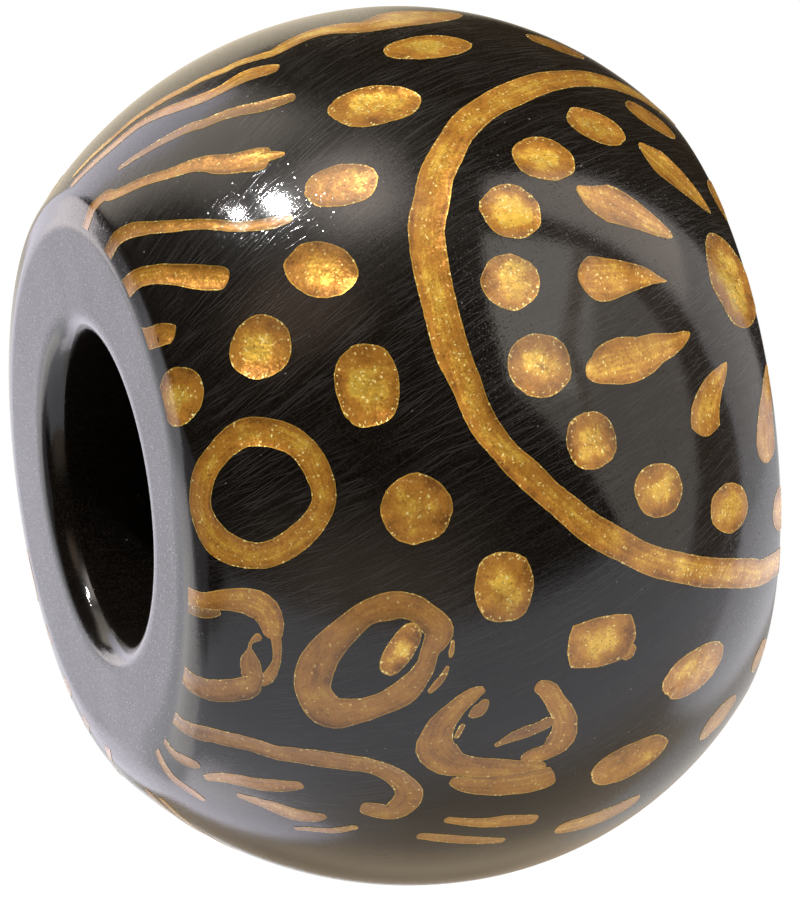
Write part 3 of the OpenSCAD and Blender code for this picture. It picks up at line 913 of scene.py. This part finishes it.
# rings round their middle line: azimuth, height, width
rings = [
    [(5.8, 10.00, 0.50), (3.6, 9.42, 0.47), (-0.5, 9.13, 0.48), (-6.5, 9.04, 0.44),
     (-11.2, 9.42, 0.46), (-14.4, 10.05, 0.48), (-12.4, 10.60, 0.56), (-6.5, 10.83, 0.54),
     (-0.6, 10.72, 0.48), (3.6, 10.43, 0.44)],
    [(-21.7, 8.15, 0.53), (-23.1, 8.55, 0.45), (-27.4, 9.00, 0.57), (-32, 9.25, 0.66),
     (-36.3, 9.27, 0.69), (-39.6, 9.00, 0.77), (-38.8, 8.57, 0.57), (-37, 8.20, 0.48),
     (-34.7, 7.85, 0.50), (-31, 7.55, 0.36), (-28.3, 7.47, 0.32), (-25.3, 7.33, 0.55),
     (-22.9, 7.56, 0.48), (-21.6, 7.85, 0.50)],
]
blots = [(-28.1, 7.94, 1.15, 0.50, -28, 0.1)]

# rings that the brush left open or went over twice, as separate sweeps: azimuth, height, width
sweeps = [
    # the one at the upper end
    [(-24.9, 11.06, 0.30), (-24.2, 10.88, 0.32), (-22.9, 10.55, 0.38), (-22.6, 10.25, 0.48),
     (-23.4, 10.02, 0.54), (-25.4, 9.92, 0.48), (-27.4, 9.90, 0.38), (-28.6, 9.92, 0.28)],
    [(-27.6, 11.02, 0.18), (-26.6, 10.85, 0.20), (-25.4, 10.62, 0.10)],
    [(-28.0, 9.84, 0.24), (-30, 9.82, 0.18), (-32, 9.82, 0.16), (-34, 9.86, 0.20),
     (-36, 9.94, 0.24), (-37.6, 10.05, 0.16)],
    [(-28.2, 10.06, 0.18), (-29.8, 10.19, 0.07), (-31.2, 10.21, 0.08), (-32.4, 10.20, 0.26),
     (-33.8, 10.19, 0.38), (-35.4, 10.16, 0.40), (-36.8, 10.14, 0.44), (-38.4, 10.20, 0.44)],
    [(-37.0, 10.08, 0.30), (-38.8, 10.2, 0.46), (-40.4, 10.38, 0.46), (-41.7, 10.55, 0.46),
     (-43, 10.75, 0.46), (-44, 10.93, 0.44), (-44.3, 11.06, 0.40)],
    # two fine ones outside the large ring
    [(-26.6, 7.08, 0.06), (-28.3, 7.10, 0.10), (-29.2, 7.12, 0.05)],
    [(-30.4, 7.15, 0.06), (-31.5, 7.20, 0.11), (-33, 7.30, 0.14), (-34.6, 7.45, 0.08)],
    # the open one below it
    [(-34, 6.50, 0.14), (-35, 6.72, 0.30), (-36.9, 6.95, 0.36), (-39.4, 7.15, 0.50),
     (-41.5, 7.22, 0.58), (-44, 7.20, 0.74), (-46.3, 6.95, 0.66), (-47, 6.60, 0.47),
     (-47.5, 6.20, 0.50), (-48, 5.80, 0.50), (-48.5, 5.40, 0.50), (-49, 5.20, 0.35)],
    [(-34.3, 5.60, 0.20), (-34.9, 5.38, 0.34), (-37, 5.20, 0.36), (-39.3, 5.02, 0.44),
     (-41.5, 4.95, 0.50), (-43.8, 5.00, 0.60), (-45.3, 5.20, 0.42), (-45.8, 5.45, 0.40),
     (-46.8, 5.60, 0.40)],
    [(-39.8, 5.20, 0.30), (-40.8, 5.45, 0.26), (-41.5, 5.70, 0.28), (-42.3, 5.95, 0.20),
     (-43.4, 6.20, 0.08)],
    [(-35.6, 6.45, 0.12), (-36.6, 6.50, 0.20), (-37.4, 6.58, 0.26), (-38.4, 6.72, 0.12)],
    [(-39.5, 6.80, 0.08), (-41, 6.87, 0.10), (-42, 6.90, 0.08)],
]

# brush strokes: azimuth, height, width
strokes = [
    # rays that leave the upper end
    [(33.5, 11.05, 0.34), (30.2, 10.97, 0.38), (27.8, 10.80, 0.38), (26.6, 10.68, 0.30)],
    [(46.5, 11.10, 0.42), (43.8, 10.95, 0.42), (40.6, 10.70, 0.40), (37.2, 10.40, 0.40),
     (34, 10.10, 0.46), (31.2, 9.72, 0.44)],
    [(58, 11.10, 0.34), (54.4, 10.80, 0.34), (50, 10.45, 0.27), (46.3, 10.13, 0.25),
     (42.5, 9.73, 0.21), (38.6, 9.30, 0.20), (36.6, 8.85, 0.24), (36, 8.50, 0.14)],
    [(71.5, 11.05, 0.28), (68.4, 10.72, 0.26), (65.2, 10.57, 0.24), (61.2, 10.19, 0.24),
     (57.6, 9.82, 0.26), (54.8, 9.42, 0.34), (51.2, 9.07, 0.46), (48.9, 8.67, 0.52),
     (47.6, 8.44, 0.44)],
    [(48.8, 8.62, 0.26), (47.8, 8.38, 0.22), (47.1, 8.20, 0.08)],
    [(71, 10.30, 0.12), (68, 9.85, 0.18), (64.5, 9.20, 0.26), (63, 9.00, 0.26), (61.8, 8.70, 0.28),
     (60.2, 8.40, 0.30), (58.8, 8.13, 0.32), (58, 7.85, 0.32), (57.3, 7.55, 0.24)],
    [(86, 10.75, 0.20), (82, 10.30, 0.24), (80, 10.00, 0.26), (79.2, 9.83, 0.26), (78, 9.60, 0.28),
     (75.3, 9.30, 0.30), (72.4, 9.03, 0.32), (69.8, 8.70, 0.34), (68.8, 8.38, 0.30),
     (68.6, 7.98, 0.42), (66.9, 7.60, 0.36), (66, 7.45, 0.20)],
    [(89, 10.60, 0.14), (85.5, 10.15, 0.20), (83.5, 9.88, 0.20), (82.5, 9.60, 0.20),
     (80.8, 9.33, 0.22), (79, 9.00, 0.24), (77, 8.70, 0.24), (76, 8.42, 0.24), (74.4, 8.10, 0.26),
     (74, 7.85, 0.28), (72.4, 7.50, 0.28), (71.6, 7.28, 0.32), (72.4, 6.95, 0.40), (73, 6.50, 0.46),
     (72.4, 6.05, 0.54), (70.6, 5.65, 0.62), (70.6, 5.30, 0.80), (71.5, 4.85, 1.05),
     (72.3, 4.40, 0.95), (73.3, 4.00, 0.72), (75, 3.55, 0.30)],
    # long stem that curls back at its end
    [(-59, 11.06, 0.30), (-56.8, 10.92, 0.32), (-55.4, 10.80, 0.34), (-53.7, 10.60, 0.34),
     (-52.4, 10.33, 0.35), (-51.2, 10.02, 0.36), (-50.8, 9.67, 0.38), (-50, 9.40, 0.38),
     (-49.2, 9.00, 0.44), (-48.6, 8.53, 0.42), (-48.5, 8.25, 0.38), (-49.2, 7.95, 0.40),
     (-50.8, 7.68, 0.46), (-53, 7.50, 0.52), (-55.8, 7.53, 0.52), (-57.8, 7.70, 0.46),
     (-57.8, 8.00, 0.42), (-57.8, 8.20, 0.30)],
    # short marks under the stem and the last ring
    [(-68.3, 11.02, 0.16), (-68, 10.94, 0.20), (-67.3, 10.88, 0.24), (-66.4, 10.80, 0.28),
     (-65.2, 10.70, 0.28), (-63.9, 10.58, 0.16)],
    [(-67, 10.45, 0.14), (-64.2, 10.30, 0.26), (-61.8, 10.03, 0.34), (-60.3, 9.77, 0.36),
     (-58.6, 9.50, 0.34), (-56.3, 9.15, 0.20)],
    [(-66.4, 9.98, 0.14), (-65.4, 9.68, 0.24), (-64.9, 9.40, 0.36), (-64.7, 9.12, 0.38),
     (-63.5, 8.83, 0.30), (-62.2, 8.66, 0.12)],
    [(-74, 11.03, 0.20), (-75, 10.93, 0.24), (-75.8, 10.80, 0.26), (-75.3, 10.60, 0.26),
     (-75.1, 10.45, 0.24), (-75.2, 10.28, 0.14)],
    [(-69, 9.00, 0.10), (-67.3, 8.75, 0.16), (-65.8, 8.45, 0.18), (-63, 8.12, 0.14)],
    [(-49.6, 6.85, 0.24), (-50.4, 6.55, 0.44), (-50.7, 6.20, 0.56), (-50.8, 5.80, 0.60),
     (-50.6, 5.40, 0.64), (-50.2, 5.05, 0.56), (-50.0, 4.95, 0.34)],
    [(-58.3, 6.75, 0.20), (-59.1, 6.08, 0.30), (-59.1, 5.60, 0.38), (-59.7, 5.00, 0.28)],
    [(-63, 7.10, 0.20), (-63.2, 6.65, 0.28), (-64, 5.93, 0.28), (-64.5, 5.45, 0.18)],
    [(-63.6, 4.50, 0.40), (-64.4, 3.83, 0.60), (-64.6, 3.23, 0.60), (-64.3, 2.75, 0.36)],
]

# how bright each is painted, in the tables' order: 0 is a dull brown, 1 a clear yellow. This is partly
# the paint's own tone and partly painted light and shade: marks that face away from the key are given
# low values and painted darker, and only high values get the painted highlight
dotTonesAndLight = (0.45, 0.7, 0.7, 1.0, 1.0, 1.0, 0.85, 0.75, 0.7, 0.5, 0.4, 0.75, 0.75, 0.4, 0.5, 1.0, 0.7,
            1.0, 0.6, 0.4, 0.6, 0.4, 0.4, 0.5, 0.8, 0.75)
ringTonesAndLight = (0.55, 0.3)
sweepTonesAndLight = (0.45, 0.1, 0.35, 0.3, 0.3, 0.25, 0.3, 0.3, 0.35, 0.2, 0.2, 0.2)
strokeTonesAndLight = (0.4, 0.4, 0.3, 0.4, 0.4, 0.15, 0.4, 0.6, 0.25, 0.3, 0.35, 0.3, 0.4, 0.25, 0.3, 0.35,
               0.3, 0.4)

bm = newMarks()
for k, (azimuth, height, across, up, lean, square) in enumerate(dots):
    addDot(bm, azimuth, height, across, up, lean, square, seed=k + 1, toneAndLight=dotTonesAndLight[k])
finishMarks("dots", bm, "gold_dots")

bm = newMarks()
for k, rows in enumerate(petals):
    addStroke(bm, rows, ends=(1.0, 0.6), seed=k + 40, toneAndLight=0.5)
for k, (azimuth, height, across, up, lean, square) in enumerate(centres):
    addDot(bm, azimuth, height, across, up, lean, square, seed=k + 50, toneAndLight=0.85)
finishMarks("petals", bm, "gold_petals")

bm = newMarks()
addStroke(bm, circle, seed=60, toneAndLight=0.55)
finishMarks("flowerCircle", bm, "gold_bands")

bm = newMarks()
for k, rows in enumerate(rings):
    addStroke(bm, rows, closed=True, seed=k + 70, toneAndLight=ringTonesAndLight[k])
for k, rows in enumerate(sweeps):
    addStroke(bm, rows, seed=k + 140, toneAndLight=sweepTonesAndLight[k])
for k, (azimuth, height, across, up, lean, square) in enumerate(blots):
    addDot(bm, azimuth, height, across, up, lean, square, seed=k + 80, toneAndLight=0.8)
finishMarks("rings", bm, "gold_rings")

bm = newMarks()
for k, rows in enumerate(strokes):
    addStroke(bm, rows, seed=k + 90, toneAndLight=strokeTonesAndLight[k])
finishMarks("brushStrokes", bm, "gold_strokes")
